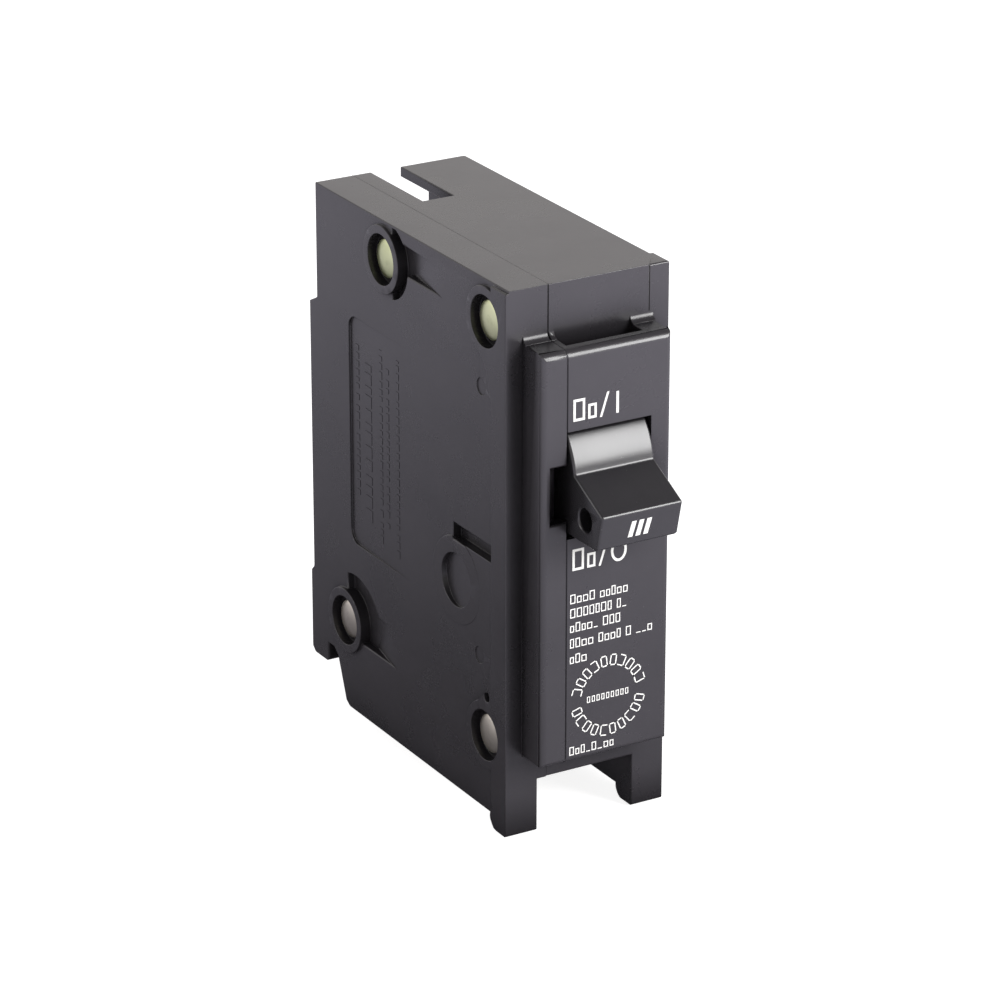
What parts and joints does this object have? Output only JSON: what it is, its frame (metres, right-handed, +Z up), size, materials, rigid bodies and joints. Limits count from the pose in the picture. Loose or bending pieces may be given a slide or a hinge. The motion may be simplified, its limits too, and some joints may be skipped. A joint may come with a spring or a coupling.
{
  "type": "circuit breaker",
  "caption": "Single-pole plug-on circuit breaker with a toggle handle, riveted two-part dark grey case, rear bus stab jaw, mounting hook and a line of pieces inside.",
  "frame": {"origin": "centre of the flat rear seating face of the case", "axes": "+Z up when installed upright, +Y out of the back towards the panel, -Y out of the front where the handle is, X across the width"},
  "size_m": [0.0254, 0.0707, 0.0794],
  "materials": {
    "case_plastic": "semi-gloss moulded dark grey phenolic",
    "handle_plastic": "semi-gloss moulded dark grey",
    "rivet_plate": "yellow passivated zinc plating, satin",
    "steel": "zinc plated, satin",
    "copper": "plain copper, satin",
    "silver": "silver alloy, satin",
    "brass": "plain brass, satin",
    "fibre": "vulcanised fibre, matt"
  },
  "bodies": {
    "frame": {"base": "case_plastic", "cover": "case_plastic", "case_rivets": "rivet_plate", "cradle_pin": "steel", "armature_pin": "steel", "armature_spring": "steel", "magnet_yoke": "steel", "bimetal": "brass", "load_strap": "copper", "terminal_nut": "steel", "flexible_shunt": "copper", "stationary_contact": "silver", "line_strap": "copper", "jaw_fingers": "copper", "jaw_clip": "steel", "arc_plates": "steel", "arc_side_plates": "fibre", "vent_screen": "fibre"},
    "handle": {"handle": "handle_plastic"},
    "arm": {"contact_arm": "copper", "moving_contact": "silver", "main_spring": "steel"},
    "cradle": {"cradle": "steel"},
    "armature": {"armature": "steel"},
    "clamp": {"clamp_plate": "steel"},
    "screw": {"terminal_screw": "brass"},
    "calibration": {"calibration_screw": "brass"}
  },
  "joints": [
    {"name": "handle_turn", "type": "hinge", "parent": "frame", "child": "handle", "pos_m": [0, -0.0516, 0.0124], "axis": [-1, 0, 0], "range_deg": [0, 27], "deforming": ["main_spring"]},
    {"name": "arm_swing", "type": "hinge", "parent": "handle", "child": "arm", "pos_m": [0, -0.04343, 0.01436], "axis": [1, 0, 0], "range_deg": [0, 51.2], "deforming": ["main_spring", "flexible_shunt"]},
    {"name": "cradle_drop", "type": "hinge", "parent": "frame", "child": "cradle", "pos_m": [0, -0.0477, -0.004], "axis": [-1, 0, 0], "range_deg": [0, 16], "deforming": ["main_spring"]},
    {"name": "armature_tilt", "type": "hinge", "parent": "frame", "child": "armature", "pos_m": [0, -0.0207, 0.007], "axis": [1, 0, 0], "range_deg": [0, 3], "deforming": ["armature_spring"]},
    {"name": "clamp_slide", "type": "slide", "parent": "frame", "child": "clamp", "axis": [0, 1, 0], "range_m": [0, 0.0044]},
    {"name": "screw_turn", "type": "hinge", "parent": "clamp", "child": "screw", "pos_m": [0, -0.04, -0.0348], "axis": [0, 1, 0], "range_deg": [0, 1985]},
    {"name": "calibration_turn", "type": "hinge", "parent": "frame", "child": "calibration", "pos_m": [0, -0.0192, -0.032], "axis": [0, 0, 1], "range_deg": [-90, 90]}
  ],
  "couplings": [
    {"joint": "arm_swing", "follows": "handle_turn", "ratio": 1.8962},
    {"joint": "screw_turn", "follows": "clamp_slide", "rad_per_m": 7854}
  ]
}
